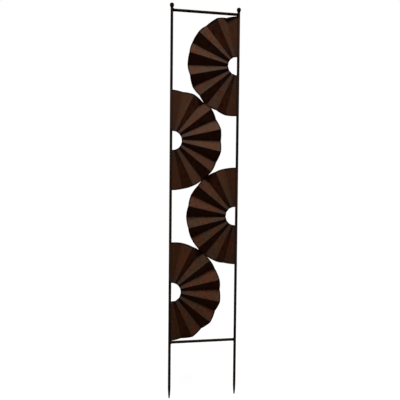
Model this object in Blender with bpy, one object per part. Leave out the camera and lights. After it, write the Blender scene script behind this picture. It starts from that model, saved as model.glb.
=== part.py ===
"""Iron garden trellis: two staked posts, two crossbars, two ball finials and four pleated
half-round fans of sheet iron, all welded together.

Metres, +Z up. The posts stand side by side along X, the viewer looks along +Y, and the
origin lies midway between the stake tips, at their level.
"""

import math

import bmesh
import bpy
import numpy as np

# Frame of round bar
POST_SPACING = 0.3128
POST_RADIUS = 0.00635
CROSSBAR_RADIUS = 0.00635
STAKE_LENGTH = 0.264
TIP_LENGTH = 0.050
TIP_RADIUS = 0.0032
TIP_WAIST_HEIGHT = 0.0225
TIP_WAIST_RADIUS = 0.0054

# Ball finials
BALL_RADIUS = 0.010
BALL_RISE = 0.0226
BALL_SOCKET_DEPTH = 0.004

# Pleated fans, all cut and folded alike
FAN_COUNT = 4
FAN_RADIUS = 0.2306
HOLE_RADIUS = 0.042
SHEET_THICKNESS = 0.001
PLEAT_COUNT = 7
PLEAT_DEPTH = 0.016
BEND_RADIUS = 0.0025
EDGE_MARGIN = 0.00085

# Where a fan's fold lines meet, counted from the centre of its rim
FOLD_HUB = np.array([-0.0036, 0, 0.0026])

# Clearances: between touching pieces, and from the fans to the crossbars
FIT_GAP = 0.0003
BOTTOM_GAP = 0.00085
TOP_GAP = 0.00095

# Collars of weld on the crossbars: height on the bar at the post's middle, face and half way
WELD_LEG = 0.0035
WELD_WASH = 0.0012
WELD_LIP = 0.0004
WELD_ROOT = 0.0022
WELD_CROWN = 0.0033
WELD_SHOULDER = 0.0030
WELD_HALF_WAY = 0.0016

# Rings of weld under the balls
BALL_WELD_LEG = 0.0020
BALL_WELD_BULGE = 0.0011
BALL_WELD_DROP = 0.0005

# Tack welds behind the sheets. A rise is how far a bead's middle stands behind its sheet
TACK_LENGTH = 0.016
TACK_WIDTH = 0.0075
TACK_HEIGHT = 0.0060
TACK_RISE = 0.0010
TACKS_PER_EDGE = 2
TACK_INSET = 0.022
RIM_WELD_LENGTH = 0.012
RIM_WELD_WIDTH = 0.009
RIM_WELD_HEIGHT = 0.0050
RIM_WELD_RISE = 0.0008

# Paints
BAR_BROWN = (0.022, 0.015, 0.012)
SHEET_BROWN = (0.072, 0.038, 0.026)
WELD_BROWN = (0.026, 0.017, 0.013)
BAR_ROUGHNESS = 0.45
SHEET_ROUGHNESS = 0.42
WELD_ROUGHNESS = 0.55
PAINT_METALLIC = 0.35

# Fineness of the round surfaces
ROUND_SIDES = 24
BALL_STEPS = 12
ARC_STEPS = 4
BEND_STEPS = 3
BEAD_SIDES = 16
BEAD_RINGS = 8
SMOOTH_BELOW = math.radians(35)

# Depth of the helper that clears the welds from the sheets' front
FRONT_ROOM = 0.032

# Places that follow from the sizes above, with the rims of neighbouring fans just meeting
POST_X = POST_SPACING / 2
FAN_INSET = POST_RADIUS + FIT_GAP + EDGE_MARGIN
FAN_X = POST_X - FAN_INSET
FAN_PITCH = 2 * math.sqrt(FAN_RADIUS**2 - FAN_X**2)
LOWEST_FAN_Z = STAKE_LENGTH + CROSSBAR_RADIUS + BOTTOM_GAP + FAN_RADIUS
HIGHEST_FAN_Z = LOWEST_FAN_Z + (FAN_COUNT - 1) * FAN_PITCH
TOP_BAR_Z = HIGHEST_FAN_Z + FAN_RADIUS + TOP_GAP + CROSSBAR_RADIUS
BALL_Z = TOP_BAR_Z + BALL_RISE
SOCKET_RADIUS = POST_RADIUS + FIT_GAP
SOCKET_MOUTH = math.sqrt(BALL_RADIUS**2 - SOCKET_RADIUS**2)
POST_TOP_Z = BALL_Z - SOCKET_MOUTH + BALL_SOCKET_DEPTH - FIT_GAP


def clear_scene():
    for item in list(bpy.data.objects):
        bpy.data.objects.remove(item, do_unlink=True)


def painted_iron(name, colour, roughness):
    material = bpy.data.materials.new(name)
    material.use_nodes = True
    shader = material.node_tree.nodes["Principled BSDF"]
    shader.inputs["Base Color"].default_value = (*colour, 1.0)
    shader.inputs["Roughness"].default_value = roughness
    shader.inputs["Metallic"].default_value = PAINT_METALLIC
    return material


def closed_mesh(name, points, faces):
    """A mesh with its faces turned outwards and its round stretches shaded smooth."""
    mesh = bpy.data.meshes.new(name)
    mesh.from_pydata([tuple(point) for point in points], [], faces)
    shape = bmesh.new()
    shape.from_mesh(mesh)
    bmesh.ops.recalc_face_normals(shape, faces=shape.faces)
    shape.to_mesh(mesh)
    shape.free()
    mesh.shade_smooth()
    mesh.set_sharp_from_angle(angle=SMOOTH_BELOW)
    return mesh


def placed(name, mesh, parent, location=(0, 0, 0), rotation=(0, 0, 0), material=None):
    """An object of this mesh, on its parent."""
    item = bpy.data.objects.new(name, mesh)
    bpy.context.scene.collection.objects.link(item)
    item.parent = parent
    item.location = location
    item.rotation_euler = rotation
    if material is not None and not mesh.materials:
        mesh.materials.append(material)
    return item


def cutter(name, mesh, parent, location=(0, 0, 0), rotation=(0, 0, 0)):
    """A helper that only cuts clearance from other pieces."""
    item = placed(name, mesh, parent, location, rotation)
    item.hide_render = True
    item.display_type = "WIRE"
    return item


def cut(item, tool):
    modifier = item.modifiers.new("clearance_" + tool.name, "BOOLEAN")
    modifier.operation = "DIFFERENCE"
    modifier.solver = "EXACT"
    modifier.object = tool


def oval(half_x, half_y, height, shift=0.0):
    """A level ring of points. With no width it is a pole."""
    if half_x == 0:
        return [(0, 0, height)]
    turns = [2 * math.pi * side / ROUND_SIDES for side in range(ROUND_SIDES)]
    return [(shift + half_x * math.cos(a), half_y * math.sin(a), height) for a in turns]


def lofted_mesh(name, rings, looped=False):
    """A skin over rings in turn. It is capped at both ends, or looped back to its start."""
    points = []
    numbered = []
    for ring in rings:
        first = len(points)
        points += ring
        pole = len(ring) == 1
        numbered.append([first if pole else first + side for side in range(ROUND_SIDES)])
    if looped:
        numbered.append(numbered[0])
    faces = []
    for low, high in zip(numbered, numbered[1:]):
        for side in range(ROUND_SIDES):
            after = (side + 1) % ROUND_SIDES
            corners = (low[side], low[after], high[after], high[side])
            faces.append(tuple(dict.fromkeys(corners)))
    if not looped:
        faces += [tuple(ring) for ring in (numbered[0], numbered[-1]) if len(set(ring)) > 1]
    return closed_mesh(name, points, faces)


def turned_mesh(name, profile, looped=False):
    """Turns a profile of (radius, height) about Z. A zero radius makes a pole."""
    return lofted_mesh(name, [oval(radius, radius, height) for radius, height in profile], looped)


def post_mesh():
    """A round bar with a forged stake point that ends blunt."""
    profile = [
        (TIP_RADIUS, 0),
        (TIP_WAIST_RADIUS, TIP_WAIST_HEIGHT),
        (POST_RADIUS, TIP_LENGTH),
        (POST_RADIUS, POST_TOP_Z),
    ]
    return turned_mesh("post", profile)


def ball_mesh():
    """A ball with a blind socket underneath, which takes the end of the post."""
    start = math.asin(SOCKET_RADIUS / BALL_RADIUS)
    steps = [start + (math.pi - start) * i / BALL_STEPS for i in range(BALL_STEPS)]
    socket_top = BALL_SOCKET_DEPTH - SOCKET_MOUTH
    profile = [(0, socket_top), (SOCKET_RADIUS, socket_top)]
    profile += [(BALL_RADIUS * math.sin(a), -BALL_RADIUS * math.cos(a)) for a in steps]
    profile.append((0, BALL_RADIUS))
    return turned_mesh("ball", profile)


def ball_weld_mesh():
    """A fillet ring in the corner between the post and the underside of the ball."""
    near = POST_RADIUS + FIT_GAP
    far = near + BALL_WELD_LEG
    between = (near + far) / 2
    reach = BALL_RADIUS + FIT_GAP
    under_near = -math.sqrt(reach**2 - near**2)
    under_between = -math.sqrt(reach**2 - between**2)
    under_far = -math.sqrt(reach**2 - far**2)
    toe = under_near - BALL_WELD_LEG
    profile = [
        (near, under_near),
        (near, toe),
        (near + WELD_LIP, toe),
        (near + BALL_WELD_BULGE, under_near - BALL_WELD_DROP),
        (far, under_far - WELD_LIP),
        (far, under_far),
        (between, under_between),
    ]
    return turned_mesh("ball_weld", profile, looped=True)


def crossbar_mesh():
    """A round bar from one post's axis to the other's, along its own Z."""
    return turned_mesh("crossbar", [(CROSSBAR_RADIUS, -POST_X), (CROSSBAR_RADIUS, POST_X)])


def crossbar_weld_mesh():
    """A collar of weld round the bar's end. It is full on the side that faces away from the
    fans, towards +X here, and no more than a lip next to them. Its height is counted from
    the post's axis, and the post is cut out of it later."""
    bore = CROSSBAR_RADIUS + FIT_GAP
    face = POST_RADIUS
    toe = POST_RADIUS + WELD_LEG
    rises = [0, WELD_CROWN, WELD_SHOULDER, WELD_HALF_WAY, WELD_LIP, 0]
    heights = [WELD_ROOT, WELD_ROOT, face, face + WELD_HALF_WAY, toe, toe]
    rings = []
    for rise, height in zip(rises, heights):
        lip = min(rise, WELD_LIP)
        wash = min(rise, WELD_WASH)
        rings.append(oval(bore + (rise + lip) / 2, bore + wash, height, (rise - lip) / 2))
    return lofted_mesh("crossbar_weld", rings, looped=True)


def unit(vector):
    return vector / np.linalg.norm(vector)


def fold_directions():
    """The fan's fold lines all run out from its hub. From the top edge down, they lean back
    and forward in turn, and the two straight edges stay upright on the post."""
    lean = math.asin(PLEAT_DEPTH / FAN_RADIUS)
    count = 2 * PLEAT_COUNT
    directions = []
    for fold in range(count + 1):
        angle = math.pi * fold / count
        tilt = 0 if fold in (0, count) else lean * (1 if fold % 2 else -1)
        flat = math.cos(tilt)
        directions.append(np.array([flat * math.sin(angle), math.sin(tilt), flat * math.cos(angle)]))
    return directions


def from_hub(direction, radius):
    """The point this way from the hub that lies this far from the centre of the rim."""
    along = float(FOLD_HUB @ direction)
    reach = math.sqrt(along**2 - float(FOLD_HUB @ FOLD_HUB) + radius**2) - along
    return FOLD_HUB + reach * direction


def pleat_rail(radius, lift, margin):
    """Points along the pleated sheet at one radius, raised from its middle by lift towards
    the back. Each panel gives an arc about the centre of the rim, and each fold an arc of
    the bend radius. margin is how far the straight edges run past that centre."""
    folds = fold_directions()
    normals = [unit(np.cross(a, b)) for a, b in zip(folds, folds[1:])]
    last = len(normals) - 1

    def edge_offset(direction, normal):
        """Distance in the panel from its upright side line to the straight edge."""
        start = from_hub(direction, radius) + lift * normal
        return (-margin - start[0]) / np.cross(normal, direction)[0]

    def tangent(index):
        """Distance in the panel from this fold line to where its bend begins."""
        return BEND_RADIUS * math.tan(math.acos(float(normals[index - 1] @ normals[index])) / 2)

    def panel(index):
        """Points across one panel, from the end of one bend to the start of the next."""
        first, second = folds[index], folds[index + 1]
        normal = normals[index]
        width = math.acos(float(first @ second))
        begin = edge_offset(first, normal) if index == 0 else tangent(index)
        finish = -edge_offset(second, normal) if index == last else tangent(index + 1)
        begin = math.asin(begin / np.linalg.norm(from_hub(first, radius) - FOLD_HUB))
        finish = math.asin(finish / np.linalg.norm(from_hub(second, radius) - FOLD_HUB))
        points = []
        for step in range(ARC_STEPS + 1):
            angle = begin + (width - begin - finish) * step / ARC_STEPS
            spoke = math.cos(angle) * first + math.sin(angle) * np.cross(normal, first)
            points.append(from_hub(spoke, radius))
        return points

    panels = [panel(index) for index in range(last + 1)]
    rail = [point + lift * normals[0] for point in panels[0]]
    for index in range(1, last + 1):
        before, after = normals[index - 1], normals[index]
        turn = math.acos(float(before @ after))
        side = 1 if index % 2 else -1
        begin, finish = panels[index - 1][-1], panels[index][0]
        slip = float((finish - begin) @ folds[index])
        for step in range(1, BEND_STEPS):
            share = step / BEND_STEPS
            a, b = math.sin((1 - share) * turn), math.sin(share * turn)
            normal = (a * before + b * after) / math.sin(turn)
            swing = side * BEND_RADIUS * (normal - before)
            rail.append(begin + share * slip * folds[index] + swing + lift * normal)
        rail += [point + lift * after for point in panels[index]]
    return rail


def strip_mesh(name, rails):
    """A closed solid between four rails of equal count, with both ends capped."""
    count = len(rails[0])
    points = [point for rail in rails for point in rail]
    faces = []
    for this in range(4):
        here, there = this * count, (this + 1) % 4 * count
        faces += [(here + i, here + i + 1, there + i + 1, there + i) for i in range(count - 1)]
    faces.append(tuple(rail * count for rail in range(4)))
    faces.append(tuple(rail * count + count - 1 for rail in range(4)))
    return closed_mesh(name, points, faces)


def fan_mesh():
    """Half a disc of sheet with a half-round hole, pleated about its hub."""
    half = SHEET_THICKNESS / 2
    rails = [
        pleat_rail(HOLE_RADIUS, half, EDGE_MARGIN),
        pleat_rail(FAN_RADIUS, half, EDGE_MARGIN),
        pleat_rail(FAN_RADIUS, -half, EDGE_MARGIN),
        pleat_rail(HOLE_RADIUS, -half, EDGE_MARGIN),
    ]
    return strip_mesh("pleated_fan", rails)


def fan_front_mesh():
    """The room that the sheet takes with its clearance, filled out towards the viewer, so
    that what it cuts keeps only what lies behind the fan or beyond its rim."""
    lift = SHEET_THICKNESS / 2 + FIT_GAP
    margin = EDGE_MARGIN + FIT_GAP
    inner = pleat_rail(HOLE_RADIUS - FIT_GAP, lift, margin)
    outer = pleat_rail(FAN_RADIUS + FIT_GAP, lift, margin)
    rails = [
        inner,
        outer,
        [np.array([x, -FRONT_ROOM, z]) for x, _, z in outer],
        [np.array([x, -FRONT_ROOM, z]) for x, _, z in inner],
    ]
    return strip_mesh("fan_front", rails)


def nugget_mesh(name, size):
    """A lens of weld metal with this full size along X, Y and Z."""
    shape = bmesh.new()
    bmesh.ops.create_uvsphere(shape, u_segments=BEAD_SIDES, v_segments=BEAD_RINGS, radius=0.5)
    bmesh.ops.scale(shape, vec=size, verts=shape.verts)
    mesh = bpy.data.meshes.new(name)
    shape.to_mesh(mesh)
    shape.free()
    mesh.shade_smooth()
    return mesh


def rim_depth(angle):
    """How far behind the middle plane a fan's rim lies, at this angle from its top."""
    x = FAN_RADIUS * math.sin(angle) - FOLD_HUB[0]
    z = FAN_RADIUS * math.cos(angle) - FOLD_HUB[2]
    panel = int(math.atan2(x, z) * 2 * PLEAT_COUNT / math.pi)
    folds = fold_directions()
    normal = np.cross(folds[panel], folds[panel + 1])
    return -(x * normal[0] + z * normal[2]) / normal[1]


def side_of(index):
    """Fans hang on the right post and the left post in turn, from the top down."""
    return 1 if index % 2 == 0 else -1


def build_frame(root, bars, welds):
    post = post_mesh()
    ball = ball_mesh()
    ball_weld = ball_weld_mesh()
    post_room = turned_mesh("post_room", [(POST_RADIUS + FIT_GAP, 0), (POST_RADIUS + FIT_GAP, BALL_Z)])
    rooms = {}
    for name, side in (("left", -1), ("right", 1)):
        x = side * POST_X
        placed(f"{name}_post", post, root, (x, 0, 0), material=bars)
        placed(f"{name}_ball_finial", ball, root, (x, 0, BALL_Z), material=bars)
        placed(f"{name}_finial_weld", ball_weld, root, (x, 0, BALL_Z), material=welds)
        rooms[side] = cutter(f"{name}_post_room", post_room, root, (x, 0, 0))
    return rooms


def build_crossbars(root, rooms, bars, welds):
    """Each bar is coped to the posts at both ends, with a weld collar there."""
    bar = crossbar_mesh()
    collar = crossbar_weld_mesh()
    for name, z, outward in (("top", TOP_BAR_Z, 1), ("bottom", STAKE_LENGTH, -1)):
        lengthwise = (0, math.pi / 2, 0)
        crossbar = placed(f"{name}_crossbar", bar, root, (0, 0, z), lengthwise, bars)
        for end, side in (("left", -1), ("right", 1)):
            cut(crossbar, rooms[side])
            turn = (0, -outward * math.pi / 2, 0 if side == outward else math.pi)
            weld_name = f"{name}_crossbar_{end}_weld"
            weld = placed(weld_name, collar, root, (side * POST_X, 0, z), turn, welds)
            cut(weld, rooms[side])


def build_fans(root, rooms, sheet, welds):
    """Every fan is the same piece. Those on the right post are turned over about Y."""
    fan = fan_mesh()
    front = fan_front_mesh()
    tack = nugget_mesh("edge_tack", (TACK_WIDTH, TACK_HEIGHT, TACK_LENGTH))
    fronts = []
    for index in range(FAN_COUNT):
        side = side_of(index)
        z = HIGHEST_FAN_Z - index * FAN_PITCH
        place = (side * FAN_X, 0, z)
        turn = (0, math.pi if side > 0 else 0, 0)
        placed(f"pleated_fan_{index + 1}", fan, root, place, turn, sheet)
        fronts.append(cutter(f"fan_{index + 1}_front", front, root, place, turn))
        heights = tack_heights()
        for number, height in enumerate(heights + [-h for h in reversed(heights)], start=1):
            x = side * (POST_X - POST_RADIUS - FIT_GAP)
            y = SHEET_THICKNESS / 2 + FIT_GAP + TACK_RISE
            name = f"fan_{index + 1}_edge_tack_{number}"
            weld = placed(name, tack, root, (x, y, z + height), material=welds)
            cut(weld, rooms[side])
            cut(weld, fronts[index])
    return fronts


def tack_heights():
    """Heights of the tacks above the fan's centre, from the rim end to the hole end."""
    high = FAN_RADIUS - TACK_INSET
    low = HOLE_RADIUS + TACK_INSET
    spaces = max(1, TACKS_PER_EDGE - 1)
    return [high + (low - high) * i / spaces for i in range(TACKS_PER_EDGE)]


def build_rim_welds(root, fronts, welds):
    """Neighbouring rims meet on the line between the fan centres, at equal depth."""
    size = (RIM_WELD_WIDTH, RIM_WELD_HEIGHT, RIM_WELD_LENGTH)
    nugget = nugget_mesh("rim_weld", size)
    slant = math.atan2(2 * FAN_X, FAN_PITCH)
    for index in range(FAN_COUNT - 1):
        depth = rim_depth(math.pi - slant if index % 2 else slant)
        z = HIGHEST_FAN_Z - (index + 0.5) * FAN_PITCH
        y = depth + SHEET_THICKNESS / 2 + FIT_GAP + RIM_WELD_RISE
        turn = (0, side_of(index) * (slant - math.pi / 2), 0)
        name = f"rim_weld_{index + 1}_{index + 2}"
        weld = placed(name, nugget, root, (0, y, z), turn, welds)
        cut(weld, fronts[index])
        cut(weld, fronts[index + 1])


def build_trellis():
    clear_scene()
    root = bpy.data.objects.new("trellis", None)
    bpy.context.scene.collection.objects.link(root)
    bars = painted_iron("bar_paint", BAR_BROWN, BAR_ROUGHNESS)
    sheet = painted_iron("sheet_paint", SHEET_BROWN, SHEET_ROUGHNESS)
    welds = painted_iron("weld_paint", WELD_BROWN, WELD_ROUGHNESS)
    rooms = build_frame(root, bars, welds)
    build_crossbars(root, rooms, bars, welds)
    fronts = build_fans(root, rooms, sheet, welds)
    build_rim_welds(root, fronts, welds)


build_trellis()
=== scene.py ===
"""The finished looks of an iron garden trellis: two round posts with stake points, two
crossbars, two ball finials and four pleated fans of sheet iron, all welded and painted brown.

Metres, +Z up. The viewer looks along +Y and the stake points stand at height 0.
"""

import math

import bpy
import numpy as np
from mathutils import Matrix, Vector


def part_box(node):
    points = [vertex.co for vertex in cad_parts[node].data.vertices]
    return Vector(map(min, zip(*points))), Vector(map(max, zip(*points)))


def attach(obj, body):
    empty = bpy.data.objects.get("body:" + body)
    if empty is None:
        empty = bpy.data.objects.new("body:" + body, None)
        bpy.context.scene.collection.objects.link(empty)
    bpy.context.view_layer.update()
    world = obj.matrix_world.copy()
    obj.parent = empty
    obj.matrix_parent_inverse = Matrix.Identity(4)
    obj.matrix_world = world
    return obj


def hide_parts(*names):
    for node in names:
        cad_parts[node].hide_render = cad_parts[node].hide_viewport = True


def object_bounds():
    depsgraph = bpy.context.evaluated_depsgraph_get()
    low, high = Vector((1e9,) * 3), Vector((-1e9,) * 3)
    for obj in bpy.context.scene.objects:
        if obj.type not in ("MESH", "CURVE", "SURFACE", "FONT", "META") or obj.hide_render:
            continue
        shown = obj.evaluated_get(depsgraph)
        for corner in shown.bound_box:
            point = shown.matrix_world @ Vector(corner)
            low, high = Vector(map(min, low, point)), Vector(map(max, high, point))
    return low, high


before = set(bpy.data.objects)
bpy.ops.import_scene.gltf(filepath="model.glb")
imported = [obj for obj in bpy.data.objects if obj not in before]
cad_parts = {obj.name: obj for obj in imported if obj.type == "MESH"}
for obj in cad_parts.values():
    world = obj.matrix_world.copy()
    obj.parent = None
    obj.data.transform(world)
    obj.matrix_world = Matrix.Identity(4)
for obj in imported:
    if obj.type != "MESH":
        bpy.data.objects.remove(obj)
cad_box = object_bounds()


# Posts
# Two straight lengths of hot-rolled round bar. The foot of each is forged down to a blunt
# point that is pushed into the soil, and the top ends inside the ball finial.
POST_SIDES = 40
POST_ROW = 0.006
TIP_LENGTH = 0.050
TIP_ROWS = 25
SOIL_LINE = 0.30
SCALE_RELIEF = 0.00004
HAMMER_DEPTH = 0.09
HAMMER_FLATS = 4
HAMMER_TWIST = 9.0
TIP_CLEAN = 20.0
BAR_BROWN = (0.0165, 0.0085, 0.0055)
BAR_OLIVE = (0.0135, 0.0090, 0.0058)
BAR_SOOT = (0.0070, 0.0042, 0.0032)
SHEET_SIDE_BROWN = (0.050, 0.0235, 0.0147)
BARE_IRON = (0.060, 0.048, 0.040)
SOIL_RUST = (0.050, 0.021, 0.009)
PAINT_SHEEN = 0.020
SHEEN_TINT = (1.0, 0.84, 0.72, 1.0)


class Wire:
    """One socket of a shader. Arithmetic on it adds the Math nodes that it names, and node()
    adds any other node, with its settings first and then its sockets."""

    def __init__(self, tree, socket=None):
        self.tree = tree
        self.socket = socket

    def node(self, kind, settings, sockets, output=0):
        made = self.tree.nodes.new(kind)
        for name, value in settings.items():
            setattr(made, name, value)
        for name, value in sockets.items():
            if isinstance(value, Wire):
                self.tree.links.new(value.socket, made.inputs[name])
            else:
                made.inputs[name].default_value = value
        return Wire(self.tree, made.outputs[output])

    def math(self, operation, first, second):
        return self.node("ShaderNodeMath", {"operation": operation}, {0: first, 1: second})

    def __add__(self, other):
        return self.math("ADD", self, other)

    def __rsub__(self, other):
        return self.math("SUBTRACT", other, self)

    def __mul__(self, other):
        return self.math("MULTIPLY", self, other)

    __radd__ = __add__
    __rmul__ = __mul__

    def step(self, low, high):
        """A mask that rises smoothly from 0 at low to 1 at high, or falls if low is above high."""
        ends = {"Value": self, "From Min": low, "From Max": high}
        return self.node("ShaderNodeMapRange", {"interpolation_type": "SMOOTHSTEP"}, ends)

    def tint(self, under, over):
        """The colour under where this mask is 0, and over where it is 1."""
        under, over = [c if isinstance(c, Wire) else (*c, 1.0) for c in (under, over)]
        return self.node("ShaderNodeMix", {"data_type": "RGBA"}, {0: self, 6: under, 7: over}, 2)

    def noise(self, scale, detail=3.0, roughness=0.5):
        """Cloudy noise about 0.5 over this place, with so many clouds to the metre."""
        sockets = {"Vector": self, "Scale": scale, "Detail": detail, "Roughness": roughness}
        return self.node("ShaderNodeTexNoise", {}, sockets)

    def stretched(self, scale):
        """This place scaled along each axis, so that a pattern draws out along the lesser one."""
        return self.node("ShaderNodeMapping", {}, {"Vector": self, "Scale": scale})


def paint_film(name, dress):
    """A painted surface. dress takes the object's own coordinates and gives the colour, the
    roughness and the relief in metres."""
    material = bpy.data.materials.new(name)
    material.use_nodes = True
    tree = material.node_tree
    shader = tree.nodes["Principled BSDF"]
    shader.inputs["Specular IOR Level"].default_value = PAINT_SHEEN
    shader.inputs["Specular Tint"].default_value = SHEEN_TINT
    place = Wire(tree).node("ShaderNodeTexCoord", {}, {}, "Object")
    colour, roughness, relief = dress(place)
    bump = place.node("ShaderNodeBump", {}, {"Strength": 1.0, "Distance": 1.0, "Height": relief})
    tree.links.new(colour.socket, shader.inputs["Base Color"])
    tree.links.new(roughness.socket, shader.inputs["Roughness"])
    tree.links.new(bump.socket, shader.inputs["Normal"])
    return material


def bar_finish(place):
    """Brown paint on rolled bar: cloudy red and olive tones drawn out along the bar, a paler
    brown on the posts beside the sheets that fades out towards the foot, sooty pits in the mill
    scale, and a foot that the soil has scuffed to rust and bare iron."""
    sheet_side = place.node("ShaderNodeAttribute", {"attribute_name": "sheet_side"}, {}, "Fac")
    along = place.stretched((1.0, 1.0, 0.18))
    cloud = along.noise(46.0, 3.0, 0.55)
    pits = along.noise(420.0, 4.0, 0.6)
    grain = place.noise(2600.0, 2.0, 0.6)
    height = place.node("ShaderNodeSeparateXYZ", {}, {"Vector": place}, "Z")
    low = height.step(SOIL_LINE, 0.02)
    scuff = place.noise(150.0, 4.0, 0.65)
    colour = cloud.step(0.40, 0.62).tint(BAR_BROWN, BAR_OLIVE)
    # A paler brown on the posts beside the sheets, less beside their lower halves and towards the
    # foot.
    colour = (sheet_side * height.step(0.25, 0.60) * 0.9).tint(colour, SHEET_SIDE_BROWN)
    colour = (pits.step(0.46, 0.72) * 0.4).tint(colour, BAR_SOOT)
    rusted = (scuff + low * 0.16).step(0.60, 0.72) * low
    colour = (rusted * 0.55).tint(colour, SOIL_RUST)
    bared = (scuff + height.step(0.9 * TIP_LENGTH, 0.0) * 0.22).step(0.74, 0.84)
    colour = (bared * 0.7).tint(colour, BARE_IRON)
    roughness = 0.40 + cloud * 0.14 + pits * 0.10 + rusted * 0.15
    relief = pits * -0.00002 + grain * 0.000004 + rusted * 0.00003
    return colour, roughness, relief


SHARP_ANGLE = math.radians(40)


def skin(name, rings, looped=False, poles=None):
    """A closed piece from rings of points, an array of rings x points x 3. Neighbouring rings
    are joined by four-sided faces. The last ring joins the first if looped, and otherwise each
    end closes on a pole, the middle of its ring where none is given. Faces are turned to
    point outwards by the sign of the enclosed volume."""
    count, around = rings.shape[:2]
    points = rings.reshape(-1, 3)
    rows = np.arange(count if looped else count - 1)[:, None]
    side = np.arange(around)[None, :]
    after = (side + 1) % around
    over = (rows + 1) % count
    quads = np.stack(
        [rows * around + side, rows * around + after, over * around + after, over * around + side],
        axis=-1,
    ).reshape(-1, 4)
    caps = np.zeros((0, 3), int)
    if not looped:
        ends = [rings[0].mean(axis=0), rings[-1].mean(axis=0)] if poles is None else poles
        pole = len(points)
        points = np.concatenate([points, np.array(ends, float)])
        first, turned = side.ravel(), after.ravel()
        last = (count - 1) * around
        caps = np.concatenate(
            [
                np.stack([turned, first, np.full(around, pole)], axis=-1),
                np.stack([last + first, last + turned, np.full(around, pole + 1)], axis=-1),
            ]
        )
    triangles = np.concatenate([quads[:, :3], quads[:, [0, 2, 3]], caps])
    a, b, c = (points[triangles[:, i]] for i in range(3))
    if np.einsum("ij,ij->i", a, np.cross(b, c)).sum() < 0:
        quads, caps = quads[:, ::-1], caps[:, ::-1]
    mesh = bpy.data.meshes.new(name)
    mesh.from_pydata(points, [], [*quads.tolist(), *caps.tolist()])
    mesh.shade_smooth()
    mesh.set_sharp_from_angle(angle=SHARP_ANGLE)
    piece = bpy.data.objects.new(name, mesh)
    bpy.context.scene.collection.objects.link(piece)
    return piece


SCALE_WAVES = ((2, 61), (3, -97), (5, 233))


def rolled(angle, along, seed):
    """Low relief of rolled bar, between -1 and 1: the mean of three waves that wind round it,
    each with its count of crests round the bar and its radians to the metre along it."""
    waves = [
        np.sin(crests * angle + pitch * along + order * seed)
        for order, (crests, pitch) in enumerate(SCALE_WAVES, start=1)
    ]
    return sum(waves) / len(waves)


def centre_of(node):
    """The middle of a node's box."""
    low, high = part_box(node)
    return (low + high) / 2


left_low, left_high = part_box("left_post")
POST_RADIUS = (left_high.x - left_low.x) / 2
POST_X = -centre_of("left_post").x
POST_TOP = left_high.z
TIP_RADIUS = 0.0032


def post_rings(x, seed):
    """The radius follows the height: it grows from the tip radius to the full bar along a
    quarter sine, with four twisted hammer flats that fade out up the point. The low relief of
    rolled bar comes in just above the tip. Each ring is that radius round the post's axis."""
    heights = np.concatenate(
        [
            np.linspace(0, TIP_LENGTH, TIP_ROWS, endpoint=False),
            np.arange(TIP_LENGTH, POST_TOP, POST_ROW),
            [POST_TOP],
        ]
    )[:, None]
    angle = np.linspace(0, 2 * np.pi, POST_SIDES, endpoint=False)[None, :]
    climb = np.clip(heights / TIP_LENGTH, 0, 1)
    radius = TIP_RADIUS + (POST_RADIUS - TIP_RADIUS) * np.sin(climb * np.pi / 2)
    hammered = np.cos(HAMMER_FLATS * angle + seed + HAMMER_TWIST * climb)
    flats = HAMMER_DEPTH * (1 - climb) * (0.5 + 0.5 * hammered)
    relief = SCALE_RELIEF * (rolled(angle, heights, seed) - 1) * np.minimum(1, TIP_CLEAN * climb)
    radius = radius * (1 - flats) + relief
    return np.stack(
        [x + radius * np.cos(angle), radius * np.sin(angle), heights + 0 * angle], axis=-1
    )


bar_paint = paint_film("brown_bar_paint", bar_finish)
for name, x in (("left_post", -POST_X), ("right_post", POST_X)):
    post = skin(f"{name}_finish", post_rings(x, 1.0 + x))
    post.data.materials.append(bar_paint)
    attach(post, "root")
    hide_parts(name)


# Crossbars
# Two lengths of the same round bar between the posts, one above the fans and one below.
# Each end is ground hollow so that it sits against the round of the post.
BAR_SIDES = 32
BAR_ROWS = 70
CAP_ROWS = 4
FIT_GAP = 0.0003
bar_low, bar_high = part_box("top_crossbar")
BAR_RADIUS = (bar_high.z - bar_low.z) / 2


def crossbar_rings(z, seed):
    """The bar lies along X. Each end stops where the post's round face begins, which is the
    square root of post radius squared less depth squared away from the post's axis. The end
    faces are rings that shrink to a pole on that same hollow."""
    angle = np.linspace(0, 2 * np.pi, BAR_SIDES, endpoint=False)[None, :]
    grown = np.linspace(0, 1, CAP_ROWS + 2)[1:-1]
    share = np.concatenate([grown, np.ones(BAR_ROWS), grown[::-1]])[:, None]
    cap = np.ones(CAP_ROWS)
    run = np.concatenate([-cap, np.linspace(-1, 1, BAR_ROWS), cap])[:, None]
    relief = SCALE_RELIEF * (rolled(angle, run * POST_X, seed) - 1)
    radius = share * (BAR_RADIUS + relief)
    depth = radius * np.cos(angle)
    hollow = np.sqrt((POST_RADIUS + FIT_GAP) ** 2 - depth**2)
    return np.stack([run * (POST_X - hollow), depth, z + radius * np.sin(angle)], axis=-1)


for name, seed in (("top_crossbar", 2.0), ("bottom_crossbar", 5.0)):
    z = centre_of(name).z
    end = POST_X - POST_RADIUS - FIT_GAP
    bar = skin(f"{name}_finish", crossbar_rings(z, seed), poles=[(-end, 0, z), (end, 0, z)])
    bar.data.materials.append(bar_paint)
    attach(bar, "root")
    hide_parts(name)


# Ball finials
# A solid forged iron ball on the top of each post. A blind hole in its underside takes the
# end of the post, and the paint runs over both.
BALL_SIDES = 48
BALL_ROWS = 36
SOCKET_RADIUS = POST_RADIUS + FIT_GAP
SOCKET_TOP = POST_TOP + FIT_GAP
FORGE_DENT = 0.00012
DENTS_ROUND = 3
DENTS_UP = 4
MOUTH_CLEAN = 4.0


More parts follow.
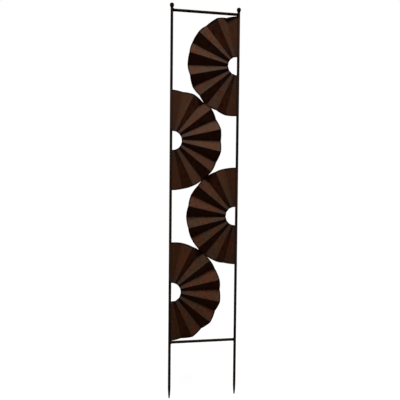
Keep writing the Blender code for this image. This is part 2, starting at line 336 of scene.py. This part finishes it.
def ball_rings(x, z, radius, seed):
    """From the middle of the socket's roof out to its wall, down the wall to the mouth, then
    round the ball from the mouth to the top. The round is a sphere less shallow forging dents,
    which are a product of slow waves round it and up it."""
    angle = np.linspace(0, 2 * np.pi, BALL_SIDES, endpoint=False)[None, :]
    mouth = math.asin(SOCKET_RADIUS / radius)
    polar = np.linspace(mouth, np.pi, BALL_ROWS + 1)[:-1, None]
    fade = np.minimum(1, MOUTH_CLEAN * (polar - mouth))
    wave = np.sin(DENTS_ROUND * angle + seed) * np.sin(DENTS_UP * polar + seed)
    dents = (1 - wave) / 2
    sphere = radius - FORGE_DENT * dents * fade
    wide = np.concatenate([np.full((1, BALL_SIDES), SOCKET_RADIUS), sphere * np.sin(polar)])
    high = np.concatenate([np.full((1, BALL_SIDES), SOCKET_TOP), z - sphere * np.cos(polar)])
    return np.stack([x + wide * np.cos(angle), wide * np.sin(angle), high], axis=-1)


for name in ("left_ball_finial", "right_ball_finial"):
    low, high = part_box(name)
    radius = (high.x - low.x) / 2
    x, z = centre_of(name).x, high.z - radius
    rings = ball_rings(x, z, radius, 4.0 + 9 * x)
    ball = skin(f"{name}_finish", rings, poles=[(x, 0, SOCKET_TOP), (x, 0, z + radius)])
    ball.data.materials.append(bar_paint)
    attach(ball, "root")
    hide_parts(name)


# Weld collars of the crossbars
# Mild-steel bead run round each end of both bars, full on the side away from the fans and
# washed down thin beside them. Each ripple is one pause of the torch.
WELD_LEG = 0.0035
WELD_WASH = 0.0012
WELD_LIP = 0.0004
WELD_ROOT = 0.0022
COLLAR_FILL = 0.78
COLLAR_ROWS = 104
COLLAR_UNDER_STEPS = 6
COLLAR_OVER_STEPS = 13
COLLAR_RIPPLES = 13
COLLAR_LAG = 2.4
RIPPLE = 0.10
SOOTY_BROWN = (0.0120, 0.0070, 0.0048)
BURNT_BROWN = (0.0230, 0.0105, 0.0055)


def weld_finish(place):
    """Paint over a raw bead: darker than the bar, burnt red in places, and rough with spatter."""
    cloud = place.noise(190.0, 3.0, 0.6)
    spatter = place.noise(1500.0, 3.0, 0.7)
    colour = cloud.step(0.42, 0.60).tint(SOOTY_BROWN, BURNT_BROWN)
    colour = (spatter.step(0.58, 0.75) * 0.5).tint(colour, BAR_SOOT)
    roughness = 0.46 + cloud * 0.12 + spatter * 0.12
    relief = spatter * 0.00008 + cloud * 0.0001
    return colour, roughness, relief


def collar_rings(side, outward, z):
    """Going round the bar gives the rings, and each ring is a section of the bead: out from the
    root to the toe along the bar, and back over a quarter wave that rises from a lip to the
    full leg. The section grows and shrinks with the ripples. Where it would enter the post it
    is pushed back along the bar to the post's round face."""
    around = np.linspace(0, 2 * np.pi, COLLAR_ROWS, endpoint=False)[:, None]
    under = np.linspace(1, 0, COLLAR_UNDER_STEPS)
    over = np.linspace(0, 1, COLLAR_OVER_STEPS)
    toe = POST_RADIUS + WELD_LEG
    bore = POST_RADIUS + FIT_GAP
    share = np.concatenate([under, over])[None, :]
    raised = np.concatenate([np.zeros_like(under), np.ones_like(over)])[None, :]
    phase = COLLAR_RIPPLES * around - COLLAR_LAG * share
    ripple = 1 + RIPPLE * np.cos(phase) * np.sin(np.pi * share)
    full = COLLAR_FILL * WELD_LEG - WELD_LIP
    rise = raised * (WELD_LIP + full * np.sin(share * np.pi / 2)) * ripple
    height = toe + (WELD_ROOT - toe) * share + 0 * around
    lip = np.minimum(rise, WELD_LIP)
    wash = np.minimum(rise, WELD_WASH * ripple)
    out = (rise - lip) / 2 + (bore + (rise + lip) / 2) * np.cos(around)
    depth = (bore + wash) * np.sin(around)
    face = np.sqrt(np.clip(bore**2 - depth**2, 0, None))
    height = np.maximum(height, face)
    return np.stack([side * (POST_X - height), depth, z + outward * out], axis=-1)


weld_paint = paint_film("sooty_weld_paint", weld_finish)
for bar_name, outward in (("top_crossbar", 1), ("bottom_crossbar", -1)):
    z = centre_of(bar_name).z
    for end_name, side in (("left", -1), ("right", 1)):
        name = f"{bar_name}_{end_name}_weld"
        collar = skin(f"{name}_finish", collar_rings(side, outward, z), looped=True)
        collar.data.materials.append(weld_paint)
        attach(collar, "root")
        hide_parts(name)


# Welds under the balls
# A small ring of bead in the corner between each post and the underside of its ball.
BALL_WELD_LEG = 0.0020
NECK_BULGE = 0.00022
NECK_ROWS = 88
NECK_OUT_STEPS = 6
NECK_BACK_STEPS = 9
NECK_RIPPLES = 11
NECK_RIPPLE = 0.06
NECK_LAG = 2.0


def neck_rings(x, ball_z, ball_radius):
    """Going round the post gives the rings. Each section runs up the post from the toe to the
    ball, out along the underside of the ball, and back down to the toe over a rippled bulge."""
    around = np.linspace(0, 2 * np.pi, NECK_ROWS, endpoint=False)[:, None]
    near = POST_RADIUS + FIT_GAP
    reach = ball_radius + FIT_GAP
    out = np.linspace(0, 1, NECK_OUT_STEPS)
    ball_out = near + BALL_WELD_LEG * out
    ball_low = ball_z - np.sqrt(reach**2 - ball_out**2)
    toe = ball_low[0] - BALL_WELD_LEG
    back = np.linspace(1, 0, NECK_BACK_STEPS)
    bulge = NECK_BULGE * np.sin(np.pi * back)
    skin_out = near + WELD_LIP + (BALL_WELD_LEG - WELD_LIP) * back + bulge
    skin_low = toe + (ball_low[-1] - WELD_LIP - toe) * back - bulge
    phase = NECK_RIPPLES * around - NECK_LAG * back
    ripple = 1 + NECK_RIPPLE * np.cos(phase) * np.sin(np.pi * back)
    skin_out = near + (skin_out - near) * ripple
    wide = np.concatenate([near + 0 * around, ball_out + 0 * around, skin_out], axis=1)
    low = np.concatenate([toe + 0 * around, ball_low + 0 * around, skin_low + 0 * around], axis=1)
    return np.stack([x + wide * np.cos(around), wide * np.sin(around), low], axis=-1)


for side_name in ("left", "right"):
    low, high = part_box(f"{side_name}_ball_finial")
    ball_radius = (high.x - low.x) / 2
    x = centre_of(f"{side_name}_post").x
    rings = neck_rings(x, high.z - ball_radius, ball_radius)
    neck = skin(f"{side_name}_finial_weld_finish", rings, looped=True)
    neck.data.materials.append(weld_paint)
    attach(neck, "root")
    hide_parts(f"{side_name}_finial_weld")


# Pleated fans
# Each is half a disc of 1 mm sheet iron with a half-round hole, cut by hand and a little out
# of true. It is folded on a brake along lines that run out from a hub near its centre, and
# welded to a post by its straight edge.
PANELS = 14
FAN_RADIUS = 0.2306
HOLE_RADIUS = 0.0416
PLEAT_DEPTH = 0.016
BEND_RADIUS = 0.0025
EDGE_MARGIN = 0.00085
FOLD_HUB = np.array([-0.0036, 0.0, 0.0026])
SHEET = 0.00095
PANEL_STEPS = 14
BEND_STEPS = 6
REACH_STEPS = 44
EDGE_STEPS = 4
BOW = 0.00055
WAVE = 0.00022
DENT_WAVES = ((9, 2), (17, -4), (5, 7))
DENT_FADE = 0.8
CREASE_WIDTH = 0.004
RUST_BROWN = (0.093, 0.0285, 0.0125)
OLIVE_BROWN = (0.056, 0.0330, 0.0175)
DEEP_BROWN = (0.044, 0.0150, 0.0068)
PALE_RUST = (0.115, 0.0460, 0.0230)
BLEACHED = (0.068, 0.0520, 0.0420)
DUSTY_GREY = (0.030, 0.0335, 0.0350)
RUBBED_GREY = (0.070, 0.0440, 0.0350)
EDGE_SOOT = (0.008, 0.0040, 0.0026)
# Painted shade colours for the sheet faces that look down: a deeper red, and a near black towards the
# hole.
SHADED_FACE_RED = (0.076, 0.015, 0.0035)
SHADED_HOLE_BLACK = (0.012, 0.0020, 0.0004)
THIN_COAT = (0.05, 0.40, 0.06, 0.04)
# Painted shade colour for the lower half and the top panel of each fan.
PAINTED_SHADE_BROWN = (0.010, 0.0022, 0.0006)
RICH_BROWN = (0.070, 0.0215, 0.0060)
LOWER_SHADE = 0.24
TOP_SHADE = 0.24
SHEET_SIDE_FADE = 0.012
LOWER_SHEET_SIDE = 0.55
RIM_SPREAD = 0.11
RIM_STRAYS = (
    ((0.27, 0.0030), (0.60, -0.0010), (0.90, 0.0035)),
    ((0.25, 0.0010), (0.75, 0.0010)),
    ((0.25, 0.0015), (0.75, 0.0015), (1.00, -0.0020)),
    ((0.15, 0.0025), (0.40, 0.0010), (0.62, 0.0035), (0.82, 0.0030)),
)
HOLE_SPREAD = 0.25
HOLE_STRAYS = (
    ((0.62, -0.0012),),
    ((0.90, 0.0030),),
    ((0.15, 0.0027), (0.62, 0.0010)),
    ((0.85, 0.0038),),
)


def sheet_finish(place):
    """Mottled rust-brown paint: palm-sized clouds of red and olive, thumb-sized darker
    blotches and smaller flecks, a coat that is thinner on some fans and bleached towards the
    top and richer beside the post, grey dust towards the hole, soot along the cut edges, a
    dull line where the brake has rubbed the folds, painted shade of deeper red and black on
    the faces that look down, darkest towards the hole, and painted shade over the lower half
    and the top panel of each fan."""
    reach, crease, rise, down, thin = [
        place.node("ShaderNodeAttribute", {"attribute_name": title}, {}, "Fac")
        for title in ("reach", "crease", "rise", "down", "thin")
    ]
    height = place.node("ShaderNodeSeparateXYZ", {}, {"Vector": place}, "Z")
    cloud = place.noise(13.0, 3.0, 0.55)
    blotch = place.stretched((1.0, 1.0, 0.8)).noise(48.0, 4.0, 0.6)
    fleck = place.noise(95.0, 4.0, 0.65)
    chalk = place.noise(33.0, 3.0, 0.6)
    speck = place.noise(330.0, 4.0, 0.65)
    grain = place.noise(2300.0, 2.0, 0.6)
    colour = cloud.step(0.42, 0.60).tint(RUST_BROWN, OLIVE_BROWN)
    colour = (fleck.step(0.48, 0.64) * 0.70).tint(colour, DEEP_BROWN)
    colour = (fleck.step(0.48, 0.32) * 0.75).tint(colour, PALE_RUST)
    colour = (blotch.step(0.46, 0.76) * 0.45).tint(colour, DEEP_BROWN)
    colour = thin.tint(colour, PALE_RUST)
    colour = ((0.06 + height.step(0.2, 1.9)) * chalk.step(0.40, 0.62) * 0.54).tint(colour, BLEACHED)
    colour = ((rise * rise).step(0.70, 0.98) * 0.38).tint(colour, RICH_BROWN)
    dust = reach.step(0.42, 0.0) * (0.20 + blotch * 0.5)
    colour = dust.tint(colour, DUSTY_GREY)
    colour = (speck.step(0.56, 0.80) * 0.30).tint(colour, DEEP_BROWN)
    rubbed = crease.step(0.30, 1.0) * speck.step(0.40, 0.62)
    colour = (rubbed * 0.35).tint(colour, RUBBED_GREY)
    # Painted shade: faces that look down take a deeper red, and towards the hole a near black.
    shaded_faces = down.step(0.02, 0.14)
    colour = (shaded_faces * (1 - blotch.step(0.36, 0.62))).tint(colour, SHADED_FACE_RED)
    hollow = reach.step(0.55, 0.05) * 0.32 + chalk.step(0.50, 0.66) * 0.42
    colour = (shaded_faces * hollow).tint(colour, SHADED_HOLE_BLACK)
    # Painted shade: the lower half of each fan and its top panel are darkened towards a deep brown.
    shade = rise.step(-0.12, -0.55) * LOWER_SHADE + rise.step(0.96, 0.985) * TOP_SHADE
    colour = shade.tint(colour, PAINTED_SHADE_BROWN)
    rim = reach.step(0.950, 0.985)
    lip = reach.step(0.040, 0.012)
    colour = ((rim + lip) * 0.88).tint(colour, EDGE_SOOT)
    roughness = 0.40 + blotch * 0.14 + speck * 0.08 + rubbed * 0.08
    relief = blotch * 0.00018 + speck * 0.00004 + grain * 0.000012
    return colour, roughness, relief


fold_turn = np.arange(PANELS + 1) * np.pi / PANELS
fold_lean = math.asin(PLEAT_DEPTH / FAN_RADIUS) * np.where(np.arange(PANELS + 1) % 2, 1.0, -1.0)
fold_lean[[0, -1]] = 0
folds = np.stack(
    [
        np.cos(fold_lean) * np.sin(fold_turn),
        np.sin(fold_lean),
        np.cos(fold_lean) * np.cos(fold_turn),
    ],
    axis=-1,
)
panel_normals = np.cross(folds[:-1], folds[1:])
panel_normals /= np.linalg.norm(panel_normals, axis=-1, keepdims=True)
panel_across = np.cross(panel_normals, folds[:-1])
panel_width = np.arccos(np.einsum("ij,ij->i", folds[:-1], folds[1:]))
bend_angle = np.arccos(np.einsum("ij,ij->i", panel_normals[:-1], panel_normals[1:]))


def hub_reach(direction, radius):
    """How far a line from the hub runs before it is this far from the rim's centre."""
    along = direction @ FOLD_HUB
    return np.sqrt(along**2 - FOLD_HUB @ FOLD_HUB + radius**2) - along


def sheet_section():
    """The outline of the cut sheet, a flat oval: along one face, round the rim, back along the
    other face and round the hole. Each point is a distance from the rim's centre and a lift
    off the middle of the sheet."""
    half = SHEET / 2
    turn = np.linspace(-np.pi / 2, np.pi / 2, EDGE_STEPS + 1)
    flat = np.linspace(HOLE_RADIUS + half, FAN_RADIUS - half, REACH_STEPS + 1)[1:-1]
    rim = FAN_RADIUS - half + half * np.cos(turn)
    hole = HOLE_RADIUS + half - half * np.cos(turn)
    face = np.full(len(flat), half)
    reach = np.concatenate([flat, rim, flat[::-1], hole])
    return reach, np.concatenate([-face, half * np.sin(turn), face, -half * np.sin(turn)])


def fold_trim(reach, lift):
    """The angle that each panel gives up at its folds, for each point of the section. At a fold
    it is the tangent length of the bend, and at both ends the straight cut along the post."""
    tangent = BEND_RADIUS * np.tan(bend_angle / 2)
    cut = -EDGE_MARGIN - FIT_GAP - FOLD_HUB[0]
    first_cut = (cut - lift * panel_normals[0, 0]) / panel_across[0, 0]
    last_cut = -(cut - lift * panel_normals[-1, 0]) / np.cross(panel_normals[-1], folds[-1])[0]
    inset = np.concatenate([[first_cut], tangent[:, None] + 0 * reach, [last_cut]])
    return np.arcsin(inset / hub_reach(folds[:, None], reach))


def panel_dents(out, share, seed):
    """How far the points of each panel stand off its flat: a bow that grows towards the rim
    and the mean of three crossing waves, each with its radians from hole to rim and from fold
    to fold. Both are less than the sheet's thickness and fade out at the folds."""
    random = np.random.default_rng(seed)
    size = random.uniform(-1, 1, (PANELS, 1, 1))
    phases = random.uniform(0, 2 * np.pi, (len(DENT_WAVES), PANELS, 1, 1))
    waves = [
        np.sin(outward * out + across * share + phase)
        for (outward, across), phase in zip(DENT_WAVES, phases)
    ]
    ripple = sum(waves) / len(waves)
    return (BOW * size * out + WAVE * ripple) * np.sin(np.pi * share) ** DENT_FADE


def fold_bends(flat_panels, lift):
    """Rings through each fold: the normal swings from one panel's to the next, and the sheet
    follows it at the bend radius. Returns the rings and the height share of each normal."""
    step = (np.arange(1, BEND_STEPS) / BEND_STEPS)[None, :, None]
    angle = bend_angle[:, None, None]
    before, after = panel_normals[:-1, None, None], panel_normals[1:, None, None]
    swing = np.sin((1 - step) * angle)[..., None] * before
    swing = swing + np.sin(step * angle)[..., None] * after
    swing = swing / np.sin(angle)[..., None]
    side = np.where(np.arange(1, PANELS) % 2, 1.0, -1.0)[:, None, None, None]
    begin, finish = flat_panels[:-1, -1], flat_panels[1:, 0]
    slip = np.einsum("ijk,ik->ij", finish - begin, folds[1:-1])
    bends = begin[:, None] + (step * slip[:, None])[..., None] * folds[1:-1, None, None]
    bends = bends + side * BEND_RADIUS * (swing - before) + lift[:, None] * swing
    return bends, swing[:, :, 0, 2]


def in_turn(panels, bends):
    """The rows of the first panel, of the bend after it, of the next panel, and so on."""
    rows = np.concatenate([panels[:-1], bends], axis=1)
    return np.concatenate([rows.reshape(-1, *panels.shape[2:]), panels[-1]])


def fan_rings(seed):
    """Rings of points round the sheet's section, carried from the top straight edge to the
    bottom one, with the rim's centre as origin and the fan opening towards +X. A panel swings
    a line about the hub from one fold to the next, takes the point on it at the section's
    distance, and adds the lift and the dents along its normal. Returns the rings with three
    numbers for each point: how far out it lies, how near to a fold, and the height share of
    the outward normal there."""
    reach, lift = sheet_section()
    out = (reach - HOLE_RADIUS) / (FAN_RADIUS - HOLE_RADIUS)
    share = np.linspace(0, 1, PANEL_STEPS + 1)[None, :, None]
    width = panel_width[:, None, None]
    trim = fold_trim(reach, lift)
    angle = trim[:-1, None] + (width - trim[:-1, None] - trim[1:, None]) * share
    spoke = np.cos(angle)[..., None] * folds[:-1, None, None]
    spoke = spoke + np.sin(angle)[..., None] * panel_across[:, None, None]
    flat_panels = FOLD_HUB + hub_reach(spoke, reach)[..., None] * spoke
    off = lift + panel_dents(out, share, seed)
    panels = flat_panels + off[..., None] * panel_normals[:, None, None]
    bends, bend_turned = fold_bends(flat_panels, lift)

    near_first = np.exp(-reach * np.abs(angle) / CREASE_WIDTH)
    near_last = np.exp(-reach * np.abs(width - angle) / CREASE_WIDTH)
    crease = np.maximum(near_first, near_last)
    crease[0] = near_last[0]
    crease[-1] = near_first[-1]
    creased = in_turn(crease, np.ones(bends.shape[:3]))
    panel_turned = panel_normals[:, 2, None] + 0 * share[0, :, 0]
    turned = in_turn(panel_turned, bend_turned)[:, None] * lift / (SHEET / 2)
    return in_turn(panels, bends), np.broadcast_to(out, creased.shape), creased, turned


def strayed(turn, strays, spread):
    """How far out a cut edge runs from its half circle: a sum of bell curves, each about its
    own place, given as a share of the turn from the upper end, and with its own height."""
    at, height = np.array(strays).T
    return np.exp(-0.5 * ((turn[..., None] - at) / spread) ** 2) @ height


def hand_cut(rings, out, turn, number):
    """The rings with each point moved away from the hub at its own depth, because the shears
    strayed at the rim and at the hole. A point moves by its share of both."""
    spokes = (rings - FOLD_HUB) * np.array([1.0, 0.0, 1.0])
    rim = strayed(turn, RIM_STRAYS[number - 1], RIM_SPREAD)
    hole = strayed(turn, HOLE_STRAYS[number - 1], HOLE_SPREAD)
    drift = out * rim + (1 - out) * hole
    return rings + (drift / np.linalg.norm(spokes, axis=-1))[..., None] * spokes


def hung(points, side, z):
    """Fan points in their place: on the left post as they are, and on the right post turned
    half way round about Y."""
    turned = points * np.array([-side, 1.0, -side])
    return turned + np.array([side * FAN_X, 0.0, z])


FAN_X = POST_X - POST_RADIUS - FIT_GAP - EDGE_MARGIN
sheet_paint = paint_film("mottled_sheet_paint", sheet_finish)
fan_sides = (1, -1, 1, -1)
fan_heights = []
for number, side in enumerate(fan_sides, start=1):
    name = f"pleated_fan_{number}"
    fan_heights.append(centre_of(name).z)
    rings, reached, creased, turned = fan_rings(40 + number)
    risen = -side * rings[..., 2] / np.linalg.norm(rings, axis=-1)
    rings = hand_cut(rings, reached, np.arccos(risen) / np.pi, number)
    fan = skin(f"{name}_finish", hung(rings, side, fan_heights[-1]))
    marked = {"reach": reached, "crease": creased, "rise": risen, "down": side * turned}
    marked["thin"] = np.full_like(creased, THIN_COAT[number - 1])
    for title, values in marked.items():
        marks = fan.data.attributes.new(title, "FLOAT", "POINT")
        ends = [values[0].mean(), values[-1].mean()]
        marks.data.foreach_set("value", np.concatenate([values.ravel(), ends]))
    fan.data.materials.append(sheet_paint)
    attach(fan, "root")
    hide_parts(name)


def sheet_side_share(heights, side):
    """How much paler a post is made beside each of its fans: the way to the hole or to the rim,
    whichever is nearer, over a set width, kept between 0 and 1, and less on the fan's lower
    half."""
    above = heights[:, None] - [z for z, hung_at in zip(fan_heights, fan_sides) if hung_at == side]
    cover = np.minimum(np.abs(above) - HOLE_RADIUS, FAN_RADIUS - np.abs(above)) / SHEET_SIDE_FADE
    return (np.clip(cover, 0, 1) * np.where(above > 0, 1.0, LOWER_SHEET_SIDE)).max(axis=1)


for side, name in ((-1, "left_post_finish"), (1, "right_post_finish")):
    mesh = bpy.data.objects[name].data
    places = np.empty(len(mesh.vertices) * 3, np.float32)
    mesh.vertices.foreach_get("co", places)
    marks = mesh.attributes.new("sheet_side", "FLOAT", "POINT")
    marks.data.foreach_set("value", sheet_side_share(places[2::3], side).astype(np.float32))


# Edge tacks
# Short beads behind each fan, in the corner between its straight edge and the post. Two
# near the rim and two near the hole hold the sheet.
TACK_SIZE = (0.0075, 0.0060, 0.0160)
TACK_INSET = 0.022
NUGGET_ROWS = 40
NUGGET_SIDES = 32
NUGGET_RIPPLES = 6
NUGGET_BLUNTNESS = 0.8
CRESCENT_LAG = 1.2
BEAD_BACK = 0.42
HALVINGS = 14


def nugget(size, seed):
    """A lens of weld metal about the origin, its length along Z. The half width at each
    height is a circle's, raised to a blunter end, times crescent ripples along the bead."""
    polar = np.linspace(0, np.pi, NUGGET_ROWS + 2)[1:-1, None]
    angle = np.linspace(0, 2 * np.pi, NUGGET_SIDES, endpoint=False)[None, :]
    lag = CRESCENT_LAG * np.sin(angle)
    ripple = np.cos(np.pi * NUGGET_RIPPLES * np.cos(polar) + lag + seed)
    wide = np.sin(polar) ** NUGGET_BLUNTNESS * (1 - RIPPLE * (1 - ripple) / 2)
    rings = np.stack([wide * np.cos(angle), wide * np.sin(angle), np.cos(polar) + 0 * angle], axis=-1)
    return rings * np.array(size) / 2


def over_post(points, x):
    """How far points stand off the post's round face, less its clearance."""
    return np.hypot(points[..., 0] - x, points[..., 1]) - POST_RADIUS - FIT_GAP


def over_sheet(points, number):
    """How far points stand behind the panel of this fan that lies at their angle, less its
    clearance. Beyond the rim all is clear."""
    side, z = fan_sides[number - 1], fan_heights[number - 1]
    local = (points - np.array([side * FAN_X, 0.0, z])) * np.array([-side, 1.0, -side])
    beyond = np.hypot(local[..., 0], local[..., 2]) - FAN_RADIUS - FIT_GAP
    local = local - FOLD_HUB
    angle = np.arctan2(np.maximum(local[..., 0], 0), local[..., 2])
    normal = panel_normals[np.clip((angle * PANELS / np.pi).astype(int), 0, PANELS - 1)]
    clear = np.einsum("...i,...i->...", local, normal) - SHEET / 2 - FIT_GAP
    return np.maximum(clear, beyond)


def fitted(points, back, rule):
    """Rings and both poles, with each point that rule finds short drawn in towards the back
    of the bead. The share that is left of its distance is found by halving."""
    poles = np.stack([points[0].mean(axis=0), points[-1].mean(axis=0)])
    whole = np.concatenate([points.reshape(-1, 3), poles])
    low, high = np.zeros((len(whole), 1)), np.ones((len(whole), 1))
    keep = rule(whole)[:, None] >= 0
    for _ in range(HALVINGS):
        middle = (low + high) / 2
        clear = rule(back + (whole - back) * middle)[:, None] >= 0
        low, high = np.where(clear, middle, low), np.where(clear, high, middle)
    whole = np.where(keep, whole, back + (whole - back) * low)
    return whole[:-2].reshape(points.shape), whole[-2:]


for number, side in enumerate(fan_sides, start=1):
    z = fan_heights[number - 1]
    offsets = (FAN_RADIUS - TACK_INSET, HOLE_RADIUS + TACK_INSET)
    for place, offset in enumerate((*offsets, -offsets[1], -offsets[0]), start=1):
        name = f"fan_{number}_edge_tack_{place}"
        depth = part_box(name)[1].y - TACK_SIZE[1] / 2
        centre = np.array([side * (POST_X - POST_RADIUS - FIT_GAP), depth, z + offset])
        rings, poles = fitted(
            nugget(TACK_SIZE, number + 2.0 * place) + centre,
            centre + np.array([0.0, BEAD_BACK * TACK_SIZE[1], 0.0]),
            lambda points: np.minimum(over_post(points, side * POST_X), over_sheet(points, number)),
        )
        tack = skin(f"{name}_finish", rings, poles=poles)
        tack.data.materials.append(weld_paint)
        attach(tack, "root")
        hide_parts(name)


# Rim welds
# One bead behind each place where the rims of two neighbouring fans meet, which ties the
# sheets to each other in the middle of the frame.
RIM_WELD_SIZE = (0.009, 0.0050, 0.012)

for number in (1, 2, 3):
    name = f"rim_weld_{number}_{number + 1}"
    upper, lower = fan_heights[number - 1 : number + 1]
    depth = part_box(name)[1].y - RIM_WELD_SIZE[1] / 2
    middle = np.array([0.0, depth, (upper + lower) / 2])
    slant = fan_sides[number - 1] * (math.atan2(2 * FAN_X, upper - lower) - math.pi / 2)
    turn = np.array(
        [
            [math.cos(slant), 0.0, math.sin(slant)],
            [0.0, 1.0, 0.0],
            [-math.sin(slant), 0.0, math.cos(slant)],
        ]
    )
    rings, poles = fitted(
        nugget(RIM_WELD_SIZE, 3.0 * number) @ turn.T + middle,
        middle + np.array([0.0, BEAD_BACK * RIM_WELD_SIZE[1], 0.0]),
        lambda points: np.minimum(over_sheet(points, number), over_sheet(points, number + 1)),
    )
    bead = skin(f"{name}_finish", rings, poles=poles)
    bead.data.materials.append(weld_paint)
    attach(bead, "root")
    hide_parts(name)


# Studio
# A plain pale floor at the stake points and a white surround. Two large soft lamps hang high
# in front and behind, so that the pleats that look up are bright and those that look down dark.
FLOOR_HALF = 14.0
FLOOR_DROP = 0.0004
FLOOR_GLOW = 0.84
FLOOR_PALE = 0.16
FLOOR_BOUNCE = 0.05
NEAR_FLOOR = 1.0
FAR_FLOOR = 2.2
LAMP_DISTANCE = 7.0
LAMP_ELEVATION = 65.0
LAMP_WIDTH = 3.8
LAMP_DEPTH = 2.0
LAMP_POWER = 533.0
SURROUND_LIGHT = 0.02


def seen_directly(start):
    """1 for rays from the camera and for those mirrored or passed on by the object."""
    camera, mirrored, passed = [
        start.node("ShaderNodeLightPath", {}, {}, ray)
        for ray in ("Is Camera Ray", "Is Glossy Ray", "Is Transmission Ray")
    ]
    return start.math("MAXIMUM", camera, start.math("MAXIMUM", mirrored, passed))


def floor_paper():
    """White where it is looked at, with the object's shadow kept by a share of plain diffuse
    near the object, and a dull bounce for the light that goes round the room."""
    material = bpy.data.materials.new("pale_floor_paper")
    material.use_nodes = True
    tree = material.node_tree
    tree.nodes.clear()
    start = Wire(tree)
    place = start.node("ShaderNodeTexCoord", {}, {}, "Object")
    flat = place.node("ShaderNodeVectorMath", {"operation": "LENGTH"}, {0: place}, "Value")
    fibre = place.noise(900.0, 2.0, 0.5)
    far = flat.step(NEAR_FLOOR, FAR_FLOOR)
    pale = fibre.tint((FLOOR_PALE,) * 3, (FLOOR_PALE * 0.98,) * 3)
    white = start.node("ShaderNodeEmission", {}, {"Color": (1, 1, 1, 1), "Strength": 1.0})
    glow = start.node("ShaderNodeEmission", {}, {"Color": (1, 1, 1, 1), "Strength": FLOOR_GLOW})
    paper = start.node("ShaderNodeBsdfDiffuse", {}, {"Color": pale})
    dull = start.node("ShaderNodeBsdfDiffuse", {}, {"Color": (*(FLOOR_BOUNCE,) * 3, 1.0)})
    near = start.node("ShaderNodeAddShader", {}, {0: glow, 1: paper})
    shown = start.node("ShaderNodeMixShader", {}, {0: far, 1: near, 2: white})
    whole = start.node("ShaderNodeMixShader", {}, {0: seen_directly(start), 1: dull, 2: shown})
    output = tree.nodes.new("ShaderNodeOutputMaterial")
    tree.links.new(whole.socket, output.inputs["Surface"])
    return material


corners = np.array([[-1, -1], [1, -1], [1, 1], [-1, 1]]) * FLOOR_HALF
floor_mesh = bpy.data.meshes.new("floor")
floor_mesh.from_pydata([(x, y, -FLOOR_DROP) for x, y in corners], [], [(0, 1, 2, 3)])
floor = bpy.data.objects.new("floor", floor_mesh)
bpy.context.scene.collection.objects.link(floor)
floor_mesh.materials.append(floor_paper())

world = bpy.data.worlds.new("white_surround")
bpy.context.scene.world = world
world.use_nodes = True
surround = Wire(world.node_tree)
seen = seen_directly(surround)
strength = seen * (1.0 - SURROUND_LIGHT) + SURROUND_LIGHT
background = world.node_tree.nodes["Background"]
background.inputs["Color"].default_value = (1.0, 1.0, 1.0, 1.0)
world.node_tree.links.new(strength.socket, background.inputs["Strength"])

middle_height = (cad_box[0].z + cad_box[1].z) / 2
for lamp_name, forward in (("front_lamp", -1), ("back_lamp", 1)):
    light = bpy.data.lights.new(lamp_name, "AREA")
    light.shape = "RECTANGLE"
    light.size = LAMP_WIDTH
    light.size_y = LAMP_DEPTH
    light.energy = LAMP_POWER
    lamp = bpy.data.objects.new(lamp_name, light)
    bpy.context.scene.collection.objects.link(lamp)
    lamp.visible_camera = False
    rise = math.radians(LAMP_ELEVATION)
    lamp.location = (
        0,
        forward * LAMP_DISTANCE * math.cos(rise),
        middle_height + LAMP_DISTANCE * math.sin(rise),
    )
    lamp.rotation_euler = (-forward * (math.pi / 2 - rise), 0, 0)


# Camera
# It stands 2 m in front of the trellis and a little to its left, about half way up it, and
# looks slightly down and to the right.
CAMERA_PLACE = (-0.3372, -1.9822, 1.0021)
CAMERA_YAW = math.radians(9.134)
CAMERA_PITCH = math.radians(2.037)
CAMERA_ROLL = math.radians(0.560)
CAMERA_LENS = 38.7

camera_data = bpy.data.cameras.new("camera")
camera_data.lens = CAMERA_LENS
camera_data.sensor_width = 36.0
camera = bpy.data.objects.new("camera", camera_data)
bpy.context.scene.collection.objects.link(camera)
camera.location = CAMERA_PLACE
aim = Matrix.Rotation(-CAMERA_YAW, 3, "Z") @ Matrix.Rotation(math.pi / 2 - CAMERA_PITCH, 3, "X")
camera.rotation_euler = (aim @ Matrix.Rotation(CAMERA_ROLL, 3, "Z")).to_euler()
bpy.context.scene.camera = camera
bpy.context.scene.view_settings.view_transform = "Standard"
